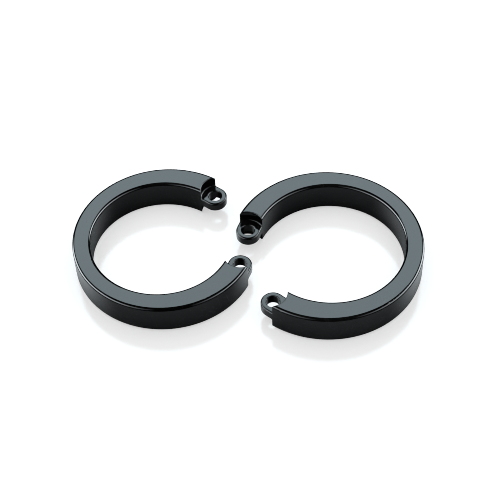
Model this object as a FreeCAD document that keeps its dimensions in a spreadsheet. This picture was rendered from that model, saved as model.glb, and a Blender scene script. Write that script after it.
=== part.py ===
"""Two open collar rings with hinge eyes, each a one-piece plastic moulding.

A ring is a C-shaped band. Its bore is slightly off centre, so the wall is thin at the back,
where the ring flexes, and thick at the mouth. The middle of the height runs on past each end of
the band as a flat round eye with a pin hole. Above and below an eye the band is cut back along
a cylinder around the pin hole, which leaves room for the cheeks of a fork-ended link.

Each ring is modelled with the centre of its outer circle on its own origin, its underside on
z = 0 and its mouth towards +X, and then placed beside the other one. The row's origin is the
bottom centre of the box around both rings. +X runs from the left ring to the right ring.
"""
import FreeCAD, Part
import math
import os
import Sketcher

os.makedirs("parts", exist_ok=True)
doc = FreeCAD.newDocument("collar_rings")

# ---------------------------------------------------------------------------- driving dimensions
# Millimetres and degrees.
DIMENSIONS = {
    "left_bore_dia": 48.3,        # a 1 1/2 inch pipe
    "right_bore_dia": 50.8,       # a 2 inch tube
    "wall": 7.3,                  # band width where the bore's offset does not count
    "bore_offset": 1.2,           # the bore's axis lies this far behind the outer circle's
    "ring_height": 11.8,
    "top_round": 0.95,            # rounding of the upper rim
    "base_round": 1.6,            # rounding of the lower rim
    "eye_spacing": 32.3,          # between the two pin holes of one ring
    "eye_base": 4.1,              # the eyes' undersides lie this far above the ring's underside
    "eye_thick": 3.6,             # height of an eye
    "pin_hole_dia": 4.5,          # clears an M4 pin
    "pin_hole_round": 0.35,       # rounding on both ends of a pin hole
    "eye_edge_round": 0.65,       # rounding on the eyes' outer edges
    "recess_dia": 12.0,           # cylinder that cuts the band back around an eye
    "recess_turn": 3.0,           # its axis is the pin hole's, turned this far towards the mouth
    "recess_lip_round": 0.25,     # rounding where that cylinder meets the band's faces
    "recess_corner_round": 0.2,   # rounding in the corner between the cylinder and the eye
    "centre_distance": 55.4,      # between the two rings' centres
    "left_mouth_turn": 20.1,      # from the line of centres to the left ring's mouth
    "right_mouth_turn": 198.9,    # and to the right ring's, which faces the other way
}

MIN_RECESS_VOLUME = 10.0          # cubic millimetres: a recess that cuts less has missed the band
SAME_RADIUS = 0.01                # millimetres: radii closer than this count as equal

sheet = doc.addObject("Spreadsheet::Sheet", "Sizes")
for row, (alias, value) in enumerate(DIMENSIONS.items(), start=1):
    sheet.set(f"A{row}", alias)
    sheet.set(f"B{row}", str(value))
    sheet.setAlias(f"B{row}", alias)
doc.recompute()


# ------------------------------------------------------------------------------------- helpers
def plane_of(body, role):
    """The body's own origin plane with this role."""
    return next(plane for plane in body.Origin.OriginFeatures if plane.Role == role)


def new_sketch(body, name):
    """A sketch on the body's own horizontal plane."""
    sketch = body.newObject("Sketcher::SketchObject", name)
    sketch.AttachmentSupport = (plane_of(body, "XY_Plane"), [""])
    sketch.MapMode = "FlatFace"
    return sketch


def constrain(sketch, expression, *arguments):
    """Add a constraint, and bind its value to the sheet where an expression is given."""
    index = sketch.addConstraint(Sketcher.Constraint(*arguments))
    if expression:
        sketch.setExpression(f"Constraints[{index}]", expression)
    return index


def edge_names(feature, wanted):
    """The names of the feature's edges for which wanted(edge) is true."""
    edges = feature.Shape.Edges
    return [f"Edge{number}" for number, edge in enumerate(edges, start=1) if wanted(edge)]


def lies_at(edge, level):
    """True where the whole edge lies at this height."""
    box = edge.BoundBox
    return abs(box.ZMin - level) < 0.001 and abs(box.ZMax - level) < 0.001


def circle_radius(edge):
    """The radius of a round edge, or 0 for any other edge."""
    return edge.Curve.Radius if isinstance(edge.Curve, Part.Circle) else 0.0


def add_fillet(body, base, name, edges, radius_alias):
    """Round the named edges of the base feature."""
    fillet = body.newObject("PartDesign::Fillet", name)
    fillet.Base = (base, edges)
    fillet.setExpression("Radius", f"Sizes.{radius_alias}")
    body.Tip = fillet
    doc.recompute()
    return fillet


# ------------------------------------------------------------------------------------- one ring
def eye_centre_x(outer, bore, offset, spacing):
    """How far an eye's centre lies from the ring's centre towards the mouth.

    An eye touches both the outer circle and the bore's circle, so its centre lies on an ellipse
    with the two circles' centres as its foci and the sum of their radii as its long axis.
    """
    half_axis = (outer + bore) / 2
    short_axis_squared = half_axis ** 2 - (offset / 2) ** 2
    return half_axis * math.sqrt(1 - (spacing / 2) ** 2 / short_axis_squared) - offset / 2


def eye_centre_expression(bore_alias):
    """The same distance as an expression on the sheet."""
    half_axis = f"(Sizes.{bore_alias} + Sizes.wall) / 2"
    squared = f"(({half_axis}) ^ 2 - (Sizes.bore_offset / 2) ^ 2)"
    root = f"sqrt(1 - (Sizes.eye_spacing / 2) ^ 2 / {squared})"
    return f"{half_axis} * {root} - Sizes.bore_offset / 2"


def recess_axis_expressions(bore_alias):
    """Where a recess's axis stands: the eye's centre, turned about the ring's towards the mouth."""
    eye_x = eye_centre_expression(bore_alias)
    eye_y = "Sizes.eye_spacing / 2"
    turn = "Sizes.recess_turn"
    return (
        f"({eye_x}) * cos({turn}) + {eye_y} * sin({turn})",
        f"{eye_y} * cos({turn}) - ({eye_x}) * sin({turn})",
    )


def draw_outline(body, bore_alias):
    """The ring seen from above: outer arc, bore arc, a round end about each eye, two pin holes."""
    bore = DIMENSIONS[bore_alias] / 2
    outer = bore + DIMENSIONS["wall"]
    offset = DIMENSIONS["bore_offset"]
    half_spacing = DIMENSIONS["eye_spacing"] / 2
    eye_x = eye_centre_x(outer, bore, offset, DIMENSIONS["eye_spacing"])
    outer_angle = math.atan2(half_spacing, eye_x)
    bore_angle = math.atan2(half_spacing, eye_x + offset)
    eye_radius = outer - math.hypot(eye_x, half_spacing)
    pin_radius = DIMENSIONS["pin_hole_dia"] / 2

    up = FreeCAD.Vector(0, 0, 1)
    outer_centre = FreeCAD.Vector(0, 0, 0)
    bore_centre = FreeCAD.Vector(-offset, 0, 0)
    upper_eye = FreeCAD.Vector(eye_x, half_spacing, 0)
    lower_eye = FreeCAD.Vector(eye_x, -half_spacing, 0)

    def arc(centre, radius, start, end):
        return Part.ArcOfCircle(Part.Circle(centre, up, radius), start, end)

    sketch = new_sketch(body, "outline")
    full_turn = 2 * math.pi
    outer_arc = sketch.addGeometry(arc(outer_centre, outer, outer_angle, full_turn - outer_angle))
    bore_arc = sketch.addGeometry(arc(bore_centre, bore, bore_angle, full_turn - bore_angle))
    upper_end = sketch.addGeometry(arc(upper_eye, eye_radius, bore_angle - math.pi, outer_angle))
    lower_end = sketch.addGeometry(arc(lower_eye, eye_radius, -outer_angle, math.pi - bore_angle))
    upper_hole = sketch.addGeometry(Part.Circle(upper_eye, up, pin_radius))
    lower_hole = sketch.addGeometry(Part.Circle(lower_eye, up, pin_radius))

    x_axis, origin, start, end, centre = -1, -1, 1, 2, 3
    constrain(sketch, None, "Coincident", outer_arc, centre, origin, 1)
    constrain(sketch, None, "PointOnObject", bore_arc, centre, x_axis)
    constrain(sketch, "Sizes.bore_offset", "DistanceX", bore_arc, centre, origin, 1, offset)
    constrain(sketch, None, "Tangent", outer_arc, start, upper_end, end)
    constrain(sketch, None, "Tangent", bore_arc, start, upper_end, start)
    constrain(sketch, None, "Tangent", outer_arc, end, lower_end, start)
    constrain(sketch, None, "Tangent", bore_arc, end, lower_end, end)
    constrain(sketch, None, "Coincident", upper_hole, centre, upper_end, centre)
    constrain(sketch, None, "Coincident", lower_hole, centre, lower_end, centre)
    constrain(sketch, None, "Equal", upper_hole, lower_hole)
    constrain(sketch, f"Sizes.{bore_alias} / 2 + Sizes.wall", "Radius", outer_arc, outer)
    constrain(sketch, f"Sizes.{bore_alias} / 2", "Radius", bore_arc, bore)
    constrain(sketch, "Sizes.pin_hole_dia / 2", "Radius", upper_hole, pin_radius)
    half_spacing_text = "Sizes.eye_spacing / 2"
    constrain(sketch, half_spacing_text, "DistanceY", origin, 1, upper_end, centre, half_spacing)
    constrain(sketch, half_spacing_text, "DistanceY", lower_end, centre, origin, 1, half_spacing)
    doc.recompute()
    return sketch


def recess_profile(sketch, eye_level, face_level):
    """Half the section of a recess: flat floor at the eye, upright wall, rounded lip at the face.

    The sketch's upright axis is the recess's axis. Levels are (sheet alias expression, value).
    """
    radius = DIMENSIONS["recess_dia"] / 2
    lip = DIMENSIONS["recess_lip_round"]
    floor_text, floor = eye_level
    face_text, face = face_level
    towards_eye = 1 if floor > face else -1
    lip_middle = FreeCAD.Vector(radius + lip, face + towards_eye * lip, 0)
    wall_top = FreeCAD.Vector(radius, lip_middle.y, 0)
    lip_end = FreeCAD.Vector(radius + lip, face, 0)
    floor_middle = FreeCAD.Vector(0, floor, 0)
    floor_end = FreeCAD.Vector(radius, floor, 0)
    face_middle = FreeCAD.Vector(0, face, 0)

    bottom = sketch.addGeometry(Part.LineSegment(floor_middle, floor_end))
    wall = sketch.addGeometry(Part.LineSegment(floor_end, wall_top))
    lip_circle = Part.Circle(lip_middle, FreeCAD.Vector(0, 0, 1), lip)
    half_turn = math.pi
    if towards_eye < 0:
        lip_arc = sketch.addGeometry(Part.ArcOfCircle(lip_circle, half_turn / 2, half_turn))
    else:
        lip_arc = sketch.addGeometry(Part.ArcOfCircle(lip_circle, half_turn, 1.5 * half_turn))
    face_line = sketch.addGeometry(Part.LineSegment(lip_end, face_middle))
    axis_line = sketch.addGeometry(Part.LineSegment(face_middle, floor_middle))

    upright_axis, origin, start, end = -2, -1, 1, 2
    at_wall, at_face = (end, start) if towards_eye < 0 else (start, end)
    constrain(sketch, None, "Coincident", bottom, end, wall, start)
    constrain(sketch, None, "Tangent", wall, end, lip_arc, at_wall)
    constrain(sketch, None, "Tangent", lip_arc, at_face, face_line, start)
    constrain(sketch, None, "Coincident", face_line, end, axis_line, start)
    constrain(sketch, None, "Coincident", axis_line, end, bottom, start)
    constrain(sketch, None, "Horizontal", bottom)
    constrain(sketch, None, "Horizontal", face_line)
    constrain(sketch, None, "Vertical", wall)
    constrain(sketch, None, "Vertical", axis_line)
    constrain(sketch, None, "PointOnObject", axis_line, start, upright_axis)
    constrain(sketch, "Sizes.recess_dia / 2", "DistanceX", bottom, start, bottom, end, radius)
    constrain(sketch, "Sizes.recess_lip_round", "Radius", lip_arc, lip)
    constrain(sketch, floor_text, "DistanceY", origin, 1, bottom, start, floor)
    if face_text:
        constrain(sketch, face_text, "DistanceY", origin, 1, face_line, end, face)
    else:
        constrain(sketch, None, "PointOnObject", face_line, end, -1)


def cut_recess(body, bore_alias, name, side, eye_level, face_level):
    """Cut the band back around one eye, between one of the band's faces and the eye."""
    sketch = body.newObject("Sketcher::SketchObject", f"{name}_outline")
    sketch.AttachmentSupport = (plane_of(body, "XZ_Plane"), [""])
    sketch.MapMode = "FlatFace"
    # This plane's normal is -Y, so a positive offset along it goes to the lower eye.
    axis_x, axis_y = recess_axis_expressions(bore_alias)
    sketch.setExpression("AttachmentOffset.Base.x", axis_x)
    sketch.setExpression("AttachmentOffset.Base.z", f"{-side} * ({axis_y})")
    recess_profile(sketch, eye_level, face_level)
    doc.recompute()

    groove = body.newObject("PartDesign::Groove", name)
    groove.Profile = sketch
    groove.ReferenceAxis = (sketch, ["V_Axis"])
    groove.Angle = 360
    body.Tip = groove
    doc.recompute()
    return groove


def make_ring(label, bore_alias):
    """One ring, with its mouth towards +X and its centre on the body's origin."""
    height = DIMENSIONS["ring_height"]
    eye_low = DIMENSIONS["eye_base"]
    eye_high = eye_low + DIMENSIONS["eye_thick"]
    pin_radius = DIMENSIONS["pin_hole_dia"] / 2
    recess_radius = DIMENSIONS["recess_dia"] / 2

    body = doc.addObject("PartDesign::Body", label)
    body.Label = label

    band = body.newObject("PartDesign::Pad", "band")
    band.Profile = draw_outline(body, bore_alias)
    band.setExpression("Length", "Sizes.ring_height")
    body.Tip = band
    doc.recompute()

    def on_rim(level):
        return lambda edge: lies_at(edge, level) and circle_radius(edge) > pin_radius + SAME_RADIUS

    top = add_fillet(body, band, "top_rim", edge_names(band, on_rim(height)), "top_round")
    rims = add_fillet(body, top, "lower_rim", edge_names(top, on_rim(0.0)), "base_round")

    eye_high_level = ("Sizes.eye_base + Sizes.eye_thick", eye_high)
    eye_low_level = ("Sizes.eye_base", eye_low)
    upper_cut = ("upper", eye_high_level, ("Sizes.ring_height", height))
    lower_cut = ("lower", eye_low_level, (None, 0.0))
    cut = rims
    for number, side in ((1, 1), (2, -1)):
        for place, eye_level, face_level in (upper_cut, lower_cut):
            volume_before = cut.Shape.Volume
            cut = cut_recess(body, bore_alias, f"{place}_recess_{number}", side, eye_level, face_level)
            if cut.Shape.Volume > volume_before - MIN_RECESS_VOLUME:
                raise RuntimeError(f"{label}: {cut.Label} cut nothing")

    def at_eye(edge):
        return lies_at(edge, eye_low) or lies_at(edge, eye_high)

    def on_recess_corner(edge):
        return at_eye(edge) and abs(circle_radius(edge) - recess_radius) < SAME_RADIUS

    def on_pin_hole(edge):
        return at_eye(edge) and abs(circle_radius(edge) - pin_radius) < SAME_RADIUS

    def on_eye_edge(edge):
        return at_eye(edge) and not on_recess_corner(edge) and not on_pin_hole(edge)

    rounded = cut
    for name, wanted, radius_alias in (
        ("eye_edges", on_eye_edge, "eye_edge_round"),
        ("pin_hole_edges", on_pin_hole, "pin_hole_round"),
        ("recess_corners", on_recess_corner, "recess_corner_round"),
    ):
        rounded = add_fillet(body, rounded, name, edge_names(rounded, wanted), radius_alias)
    return body


left_ring = make_ring("left_ring", "left_bore_dia")
right_ring = make_ring("right_ring", "right_bore_dia")


# ------------------------------------------------------------------------------- place the rings
# The rings differ in radius, so the middle of their common box is not the middle of the line
# of centres.
half_difference = "(Sizes.right_bore_dia - Sizes.left_bore_dia) / 4"
left_ring.setExpression("Placement.Base.x", f"-Sizes.centre_distance / 2 - {half_difference}")
right_ring.setExpression("Placement.Base.x", f"Sizes.centre_distance / 2 - {half_difference}")
left_ring.setExpression("Placement.Rotation.Angle", "Sizes.left_mouth_turn")
right_ring.setExpression("Placement.Rotation.Angle", "Sizes.right_mouth_turn")
doc.recompute()

# ------------------------------------------------------------------------------ check and write
for item in doc.Objects:
    if {"Invalid", "Error"} & set(item.State):
        raise RuntimeError(f"{item.Label} failed: {item.State}")

for ring in (left_ring, right_ring):
    shape = ring.Shape
    if shape.isNull() or not shape.isValid() or len(shape.Solids) != 1:
        raise RuntimeError(f"{ring.Label} is not one valid solid")
    shape.exportStep(f"parts/{ring.Label}.step")
    box = shape.BoundBox
    print(f"{ring.Label}: {shape.Volume:.1f} mm3, x {box.XMin:.2f} to {box.XMax:.2f}, "
          f"y {box.YMin:.2f} to {box.YMax:.2f}, z {box.ZMin:.2f} to {box.ZMax:.2f}")
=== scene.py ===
"""Two open collar rings in gloss black plastic, lying on a pale studio floor.

The CAD rings stay as they are. This script gives them a moulded gloss plastic with fine
procedural detail, and adds the floor, the light and the camera.
"""
import math
import bpy
from mathutils import Matrix, Vector


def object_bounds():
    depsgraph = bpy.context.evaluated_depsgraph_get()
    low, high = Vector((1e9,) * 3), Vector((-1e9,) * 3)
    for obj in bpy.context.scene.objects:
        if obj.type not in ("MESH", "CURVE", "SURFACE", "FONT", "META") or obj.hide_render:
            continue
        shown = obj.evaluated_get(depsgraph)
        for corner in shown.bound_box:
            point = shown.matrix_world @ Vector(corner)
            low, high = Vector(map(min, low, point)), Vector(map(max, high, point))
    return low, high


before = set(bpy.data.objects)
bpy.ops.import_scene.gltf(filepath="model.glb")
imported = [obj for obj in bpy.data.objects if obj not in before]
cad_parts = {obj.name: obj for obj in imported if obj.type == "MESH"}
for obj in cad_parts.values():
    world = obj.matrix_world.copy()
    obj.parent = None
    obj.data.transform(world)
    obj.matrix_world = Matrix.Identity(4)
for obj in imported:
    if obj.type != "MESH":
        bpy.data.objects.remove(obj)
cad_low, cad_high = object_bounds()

MM = 0.001
PIXEL_FILTER = 0.9               # pixels; a little narrower than usual, for crisp rims

# ------------------------------------------------------------------------------------ the camera
CAMERA_AZIMUTH = math.radians(5.865)
CAMERA_ELEVATION = math.radians(50.561)
CAMERA_DISTANCE = 468.5 * MM
CAMERA_ROLL = math.radians(-2.307)
CAMERA_LENS = 96.94              # millimetres, on a 36 mm sensor
CAMERA_CLIP = (0.01, 20)
AIM_OFFSET = Vector((0.23, 4.96)) * MM   # from the middle of the box to the point aimed at


def make_camera():
    """The view from the front, well above the floor."""
    middle = (cad_low + cad_high) / 2
    aim = Vector((middle.x + AIM_OFFSET.x, middle.y + AIM_OFFSET.y, cad_low.z))
    back = Vector((
        math.sin(CAMERA_AZIMUTH) * math.cos(CAMERA_ELEVATION),
        -math.cos(CAMERA_AZIMUTH) * math.cos(CAMERA_ELEVATION),
        math.sin(CAMERA_ELEVATION),
    ))
    data = bpy.data.cameras.new("camera")
    data.lens = CAMERA_LENS
    data.clip_start, data.clip_end = CAMERA_CLIP
    camera = bpy.data.objects.new("camera", data)
    level = (-back).to_track_quat("-Z", "Y").to_matrix()
    turned = level @ Matrix.Rotation(CAMERA_ROLL, 3, "Z")
    camera.matrix_world = Matrix.Translation(aim + back * CAMERA_DISTANCE) @ turned.to_4x4()
    bpy.context.scene.collection.objects.link(camera)
    bpy.context.scene.camera = camera


# ------------------------------------------------------------------------------------ node helpers
def new_tree(owner):
    """An empty node tree of a material or a world."""
    owner.use_nodes = True
    owner.node_tree.nodes.clear()
    return owner.node_tree


class Tree:
    """Short calls for adding linked nodes to one node tree."""

    def __init__(self, owner):
        self.tree = new_tree(owner)

    def add(self, kind, **settings):
        node = self.tree.nodes.new(kind)
        for name, value in settings.items():
            setattr(node, name, value)
        return node

    def feed(self, socket, value):
        """Link a socket to another one, or set its value."""
        if isinstance(value, bpy.types.NodeSocket):
            self.tree.links.new(value, socket)
        else:
            socket.default_value = value

    def math(self, operation, *values):
        node = self.add("ShaderNodeMath", operation=operation)
        for socket, value in zip(node.inputs, values):
            self.feed(socket, value)
        return node.outputs[0]

    def product(self, *values):
        result = values[0]
        for value in values[1:]:
            result = self.math("MULTIPLY", result, value)
        return result

    def ramp(self, value, low, high, to_low=0.0, to_high=1.0, smooth=True):
        """value taken from low..high to to_low..to_high, and held beyond."""
        node = self.add("ShaderNodeMapRange", interpolation_type="SMOOTHSTEP" if smooth else "LINEAR")
        for name, number in (("From Min", low), ("From Max", high), ("To Min", to_low), ("To Max", to_high)):
            self.feed(node.inputs[name], number)
        self.feed(node.inputs["Value"], value)
        return node.outputs["Result"]


# ------------------------------------------------------------------------------------ light
# Every pair of angles below is in degrees and is blended across: elevations above the floor for BASE, TOP
# and RISE, and level angles from the front for the others.
FRONT = Vector((math.sin(CAMERA_AZIMUTH), -math.cos(CAMERA_AZIMUTH), 0))
COOL_WHITE = (0.76, 0.93, 1.0, 1)
PALE_WHITE = (0.88, 0.96, 1.0, 1)
WHITE = (1, 1, 1, 1)
SMALLEST_LEVEL = 0.0001          # keeps the level part of a direction above zero, straight up and down

# The panel behind the rings.
PANEL_STRENGTH = 4.35
PANEL_BASE = (38, 43)
PANEL_TOP = (56.5, 60)
PANEL_SIDE = (142, 158)          # dark at the first angle from the front, full at the second

# The band of light low at both sides.
SIDE_STRENGTH = 14.0
SIDE_TURN = 6                    # the dark gap at the front is turned this far to the right
SIDE_GAP = (18, 98)              # dark at the first angle from the front, full at the second
SIDE_END = (118, 134)            # full at the first angle, dark at the second
SIDE_BASE = (-16, 18)
SIDE_TOP = (25, 48)
SIDE_DROP = 8                    # the band bends down by this much between these angles
SIDE_DROP_RANGE = (82, 112)

# What the floor sends up, from the front and from behind.
GLOW_STRENGTH = (0.27, 1.45)
GLOW_TURN = 5
GLOW_SPREAD = (68, 146)
GLOW_TOP = (-47, -30)

SKY_STRENGTH = 2.35
SKY_RISE = (20, 75)


def radian_range(angles):
    return math.radians(angles[0]), math.radians(angles[1])


def cosine_range(angles):
    return math.cos(math.radians(angles[0])), math.cos(math.radians(angles[1]))


def horizontal(degrees_to_right):
    """The level direction this far to the right of the front."""
    turn = Matrix.Rotation(math.radians(degrees_to_right), 3, "Z")
    return turn @ FRONT


def make_tent(tree, direction):
    """Strengths of the panel and of the other light that gloss reflects, for a direction."""
    parts = tree.add("ShaderNodeSeparateXYZ")
    tree.feed(parts.inputs[0], direction)
    height = parts.outputs["Z"]
    elevation = tree.math("ARCSINE", height)
    level_squared = tree.math("SUBTRACT", 1.0, tree.math("MULTIPLY", height, height))
    level = tree.math("SQRT", tree.math("MAXIMUM", level_squared, SMALLEST_LEVEL))

    def cosine_from(towards):
        """The cosine of the level angle between the direction and this one."""
        along = tree.add("ShaderNodeVectorMath", operation="DOT_PRODUCT")
        tree.feed(along.inputs[0], direction)
        along.inputs[1].default_value = towards
        return tree.math("DIVIDE", along.outputs["Value"], level)

    def rise(angles):
        return tree.ramp(elevation, *radian_range(angles))

    def fall(angles):
        return tree.ramp(elevation, *radian_range(angles), 1.0, 0.0)

    frontness = cosine_from(FRONT)
    panel_start, panel_full = cosine_range(PANEL_SIDE)
    panel_width = tree.ramp(frontness, panel_full, panel_start, PANEL_STRENGTH, 0.0)
    panel = tree.product(rise(PANEL_BASE), fall(PANEL_TOP), panel_width)

    gap_end, side_full = cosine_range(SIDE_GAP)
    side_frontness = cosine_from(horizontal(SIDE_TURN))
    gap = tree.ramp(side_frontness, side_full, gap_end, SIDE_STRENGTH, 0.0, smooth=False)
    end_start, end_full = cosine_range(SIDE_END)
    ends = tree.ramp(frontness, end_full, end_start)
    drop_start, drop_full = cosine_range(SIDE_DROP_RANGE)
    drop = tree.ramp(side_frontness, drop_full, drop_start, math.radians(SIDE_DROP), 0.0)
    lifted = tree.math("ADD", elevation, drop)
    base = tree.ramp(lifted, *radian_range(SIDE_BASE))
    top = tree.ramp(lifted, *radian_range(SIDE_TOP), 1.0, 0.0)
    side = tree.product(base, top, gap, ends)

    glow_side, glow_behind = cosine_range(GLOW_SPREAD)
    front_glow, behind_glow = GLOW_STRENGTH
    glow_frontness = cosine_from(horizontal(GLOW_TURN))
    glow = tree.ramp(glow_frontness, glow_behind, glow_side, behind_glow, front_glow)
    floor_glow = tree.product(glow, fall(GLOW_TOP))
    return panel, tree.math("ADD", side, floor_glow)


def make_world():
    """Light for matt surfaces from above, a light tent for gloss, and plain white for the backdrop."""
    world = bpy.data.worlds.new("studio")
    bpy.context.scene.world = world
    tree = Tree(world)
    direction = tree.add("ShaderNodeTexCoord").outputs["Generated"]
    panel, others = make_tent(tree, direction)

    def background(colour, strength):
        node = tree.add("ShaderNodeBackground")
        node.inputs["Color"].default_value = colour
        tree.feed(node.inputs["Strength"], strength)
        return node.outputs[0]

    def mix(factor, first, second):
        node = tree.add("ShaderNodeMixShader")
        for socket, value in zip(node.inputs, (factor, first, second)):
            tree.feed(socket, value)
        return node.outputs[0]

    tent = tree.add("ShaderNodeAddShader")
    tree.feed(tent.inputs[0], background(COOL_WHITE, panel))
    tree.feed(tent.inputs[1], background(PALE_WHITE, others))

    parts = tree.add("ShaderNodeSeparateXYZ")
    tree.feed(parts.inputs[0], direction)
    elevation = tree.math("ARCSINE", parts.outputs["Z"])
    sky_strength = tree.ramp(elevation, *radian_range(SKY_RISE), 0.0, SKY_STRENGTH)
    sky = background(WHITE, sky_strength)

    path = tree.add("ShaderNodeLightPath")
    lights = mix(path.outputs["Is Glossy Ray"], sky, tent.outputs[0])
    backdrop = background(WHITE, 1.0)
    output = tree.add("ShaderNodeOutputWorld")
    tree.feed(output.inputs["Surface"], mix(path.outputs["Is Camera Ray"], lights, backdrop))


FLOOR_SIZE = 6.0
FLOOR_ALBEDO = 0.36
FLOOR_ROUGHNESS = 0.16
FLOOR_IOR = 1.6
FLOOR_NEAR = 0.51                # glow of the translucent floor under the panel's reflection
FLOOR_FAR = 0.78                 # and beyond it, so that both look white
FLOOR_NEAR_REACH = (78 * MM, 52 * MM)    # half-widths of the near area, along x and y
FLOOR_NEAR_EDGE = (0.9, 1.3)     # near turns into far between these shares of the half-widths
# Painted shade: the rings' gloss sees the floor painted black where ambient occlusion finds it hemmed in
# near the rings, standing in for its shadow there.
PAINTED_SHADE_REACH = 14 * MM
PAINTED_SHADE_OPEN = (0.45, 0.92)      # how open to the sky the floor is where gloss sees it painted black as shade, and clear
PAINTED_SHADE_SAMPLES = 8
# the painted shade that gloss sees on the floor near the rings
PAINTED_SHADE_BLACK = (0, 0, 0, 1)


def make_floor():
    """A pale floor with a little gloss. In the rings' gloss it is clear, and painted black as shade near
    contact.
    """
    mesh = bpy.data.meshes.new("floor")
    half = FLOOR_SIZE / 2
    corners = [(-half, -half, 0), (half, -half, 0), (half, half, 0), (-half, half, 0)]
    mesh.from_pydata(corners, [], [(0, 1, 2, 3)])
    floor = bpy.data.objects.new("floor", mesh)
    floor.location.z = cad_low.z
    bpy.context.scene.collection.objects.link(floor)

    material = bpy.data.materials.new("floor")
    tree = Tree(material)
    reach_x, reach_y = FLOOR_NEAR_REACH
    spread = tree.add("ShaderNodeVectorMath", operation="DIVIDE")
    tree.feed(spread.inputs[0], tree.add("ShaderNodeTexCoord").outputs["Object"])
    spread.inputs[1].default_value = (reach_x, reach_y, 1.0)
    distance = tree.add("ShaderNodeVectorMath", operation="LENGTH")
    tree.feed(distance.inputs[0], spread.outputs[0])
    surface = tree.add("ShaderNodeBsdfPrincipled")
    surface.inputs["Base Color"].default_value = (FLOOR_ALBEDO, FLOOR_ALBEDO, FLOOR_ALBEDO, 1)
    surface.inputs["Roughness"].default_value = FLOOR_ROUGHNESS
    surface.inputs["IOR"].default_value = FLOOR_IOR
    lit_through = tree.add("ShaderNodeEmission")
    glow = tree.ramp(distance.outputs["Value"], *FLOOR_NEAR_EDGE, FLOOR_NEAR, FLOOR_FAR)
    tree.feed(lit_through.inputs["Strength"], glow)
    pale = tree.add("ShaderNodeAddShader")
    tree.feed(pale.inputs[0], surface.outputs[0])
    tree.feed(pale.inputs[1], lit_through.outputs[0])

    # Painted shade: in the rings' gloss the floor turns black where it is hemmed in near the rings.
    black = tree.add("ShaderNodeBsdfDiffuse")
    black.inputs["Color"].default_value = PAINTED_SHADE_BLACK
    clear = tree.add("ShaderNodeBsdfTransparent")
    openness = tree.add("ShaderNodeAmbientOcclusion", samples=PAINTED_SHADE_SAMPLES)
    openness.inputs["Distance"].default_value = PAINTED_SHADE_REACH
    clear_of_painted_shade = tree.ramp(openness.outputs["AO"], *PAINTED_SHADE_OPEN, smooth=False)
    gloss_floor_with_painted_shade = tree.add("ShaderNodeMixShader")
    tree.feed(gloss_floor_with_painted_shade.inputs[0], clear_of_painted_shade)
    tree.feed(gloss_floor_with_painted_shade.inputs[1], black.outputs[0])
    tree.feed(gloss_floor_with_painted_shade.inputs[2], clear.outputs[0])
    path = tree.add("ShaderNodeLightPath")
    mix = tree.add("ShaderNodeMixShader")
    tree.feed(mix.inputs[0], path.outputs["Is Glossy Ray"])
    tree.feed(mix.inputs[1], pale.outputs[0])
    tree.feed(mix.inputs[2], gloss_floor_with_painted_shade.outputs[0])
    output = tree.add("ShaderNodeOutputMaterial")
    tree.feed(output.inputs["Surface"], mix.outputs[0])
    mesh.materials.append(material)


# ------------------------------------------------------------------------------------ material
DEEP_BLACK = (0.0008, 0.0008, 0.0009, 1)
WORN_BLACK = (0.0120, 0.0120, 0.0124, 1)
CLOUD_SHARE = 0.30               # how far the pigment's clouds go towards the worn black
GLOSS = 0.03                     # roughness of the clean moulded skin
HAZE = 0.03                      # added where the skin has been handled
SCRATCH_HAZE = 0.05              # added inside a scratch
EDGE_HAZE = 0.05                 # added on the sharp edges
EDGE_SHARE = 0.25                # how far the sharp edges go towards the worn black
EDGE_ROUND = 0.15 * MM
EDGE_SAMPLES = 6
EDGE_BEND = (0.999, 0.95)        # cosine of the bend where the edge look starts, and where it is full
PLASTIC_IOR = 1.5

# Noise patterns: features per metre, octaves, and roughness of the small octaves.
PIGMENT_NOISE = (60, 4, 0.55)    # the faint cloudiness of the pigment
HAZE_NOISE = (95, 6, 0.62)       # where the skin has been handled
PATCH_NOISE = (95, 1)            # where the hairlines are
SKIN_NOISE = (900, 2)            # the shallow orange-peel of the moulded skin
LINE_NOISE = (1.0, 1)            # one hairline set, in its own stretched space

# The values of each noise that turn into none and all of its effect.
PIGMENT_RANGE = (0.35, 0.70)
HAZE_RANGE = (0.46, 0.72)
PATCH_RANGE = (0.48, 0.66)
LINE_RANGE = (0.63, 0.72)
PIGMENT_OFFSET = 2.0             # each pattern is a different slice of the noise
PATCH_OFFSET = 5.0

SCRATCH_TURNS = ((48, 17), (-57, 74), (63, 128))     # tilt and turn of each set, in degrees
SCRATCH_SCALE = (110, 4200)      # features per metre along and across a scratch

SKIN_DEPTH = 0.0006 * MM
SCRATCH_DEPTH = 0.0008 * MM


def noise(tree, place, scale, detail, roughness=0.5, offset=0.0):
    """Grey noise at a place, the same on every run."""
    node = tree.add("ShaderNodeTexNoise", noise_dimensions="4D")
    tree.feed(node.inputs["Vector"], place)
    node.inputs["Scale"].default_value = scale
    node.inputs["Detail"].default_value = detail
    node.inputs["Roughness"].default_value = roughness
    node.inputs["W"].default_value = offset
    return node.outputs["Fac"]


def scratches(tree, place):
    """Sparse hairlines in a few directions, 0 to 1."""
    total = 0.0
    for number, (tilt, turn) in enumerate(SCRATCH_TURNS):
        turned = tree.add("ShaderNodeMapping")
        tree.feed(turned.inputs["Vector"], place)
        turned.inputs["Rotation"].default_value = (math.radians(tilt), 0, math.radians(turn))
        stretched = tree.add("ShaderNodeMapping")
        tree.feed(stretched.inputs["Vector"], turned.outputs[0])
        along, across = SCRATCH_SCALE
        stretched.inputs["Scale"].default_value = (along, across, along)
        line = noise(tree, stretched.outputs[0], *LINE_NOISE, offset=number)
        patch = noise(tree, place, *PATCH_NOISE, offset=number + PATCH_OFFSET)
        hairlines = tree.product(tree.ramp(line, *LINE_RANGE), tree.ramp(patch, *PATCH_RANGE))
        total = tree.math("MAXIMUM", total, hairlines)
    return total


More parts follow.
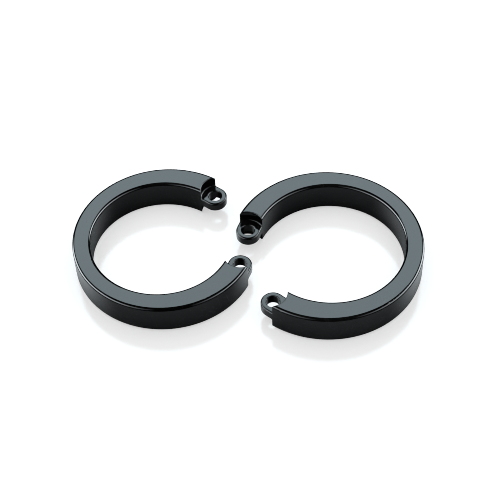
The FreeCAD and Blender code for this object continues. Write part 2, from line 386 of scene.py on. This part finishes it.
def gloss_black():
    """Moulded gloss plastic: cloudy pigment, handling haze, hairlines, softened sharp edges."""
    material = bpy.data.materials.new("gloss_black_plastic")
    tree = Tree(material)
    place = tree.add("ShaderNodeTexCoord").outputs["Object"]

    soft_edge = tree.add("ShaderNodeBevel", samples=EDGE_SAMPLES)
    soft_edge.inputs["Radius"].default_value = EDGE_ROUND
    turned_away = tree.add("ShaderNodeVectorMath", operation="DOT_PRODUCT")
    tree.feed(turned_away.inputs[0], soft_edge.outputs[0])
    tree.feed(turned_away.inputs[1], tree.add("ShaderNodeNewGeometry").outputs["Normal"])
    edge = tree.ramp(turned_away.outputs["Value"], *EDGE_BEND)

    handled = tree.ramp(noise(tree, place, *HAZE_NOISE), *HAZE_RANGE)
    hairlines = scratches(tree, place)

    roughness = tree.math("ADD", GLOSS, tree.product(handled, HAZE))
    roughness = tree.math("ADD", roughness, tree.product(hairlines, SCRATCH_HAZE))
    roughness = tree.math("ADD", roughness, tree.product(edge, EDGE_HAZE))

    clouds = tree.ramp(noise(tree, place, *PIGMENT_NOISE, offset=PIGMENT_OFFSET), *PIGMENT_RANGE)
    worn = tree.math("MAXIMUM", tree.product(clouds, CLOUD_SHARE), tree.product(edge, EDGE_SHARE))
    worn = tree.math("MAXIMUM", worn, hairlines)
    colour = tree.add("ShaderNodeMix", data_type="RGBA")
    tree.feed(colour.inputs["Factor"], worn)
    colour.inputs["A"].default_value = DEEP_BLACK
    colour.inputs["B"].default_value = WORN_BLACK

    skin = tree.add("ShaderNodeBump")
    skin.inputs["Distance"].default_value = SKIN_DEPTH
    tree.feed(skin.inputs["Height"], noise(tree, place, *SKIN_NOISE))
    tree.feed(skin.inputs["Normal"], soft_edge.outputs[0])
    scored = tree.add("ShaderNodeBump", invert=True)
    scored.inputs["Distance"].default_value = SCRATCH_DEPTH
    tree.feed(scored.inputs["Height"], hairlines)
    tree.feed(scored.inputs["Normal"], skin.outputs[0])

    shader = tree.add("ShaderNodeBsdfPrincipled")
    shader.inputs["IOR"].default_value = PLASTIC_IOR
    tree.feed(shader.inputs["Base Color"], colour.outputs["Result"])
    tree.feed(shader.inputs["Roughness"], roughness)
    tree.feed(shader.inputs["Normal"], scored.outputs[0])
    output = tree.add("ShaderNodeOutputMaterial")
    tree.feed(output.inputs["Surface"], shader.outputs[0])
    return material


make_camera()
make_world()
make_floor()
plastic = gloss_black()
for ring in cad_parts.values():
    for slot in ring.material_slots:
        slot.material = plastic

scene = bpy.context.scene
scene.view_settings.view_transform = "Standard"
scene.cycles.filter_width = PIXEL_FILTER
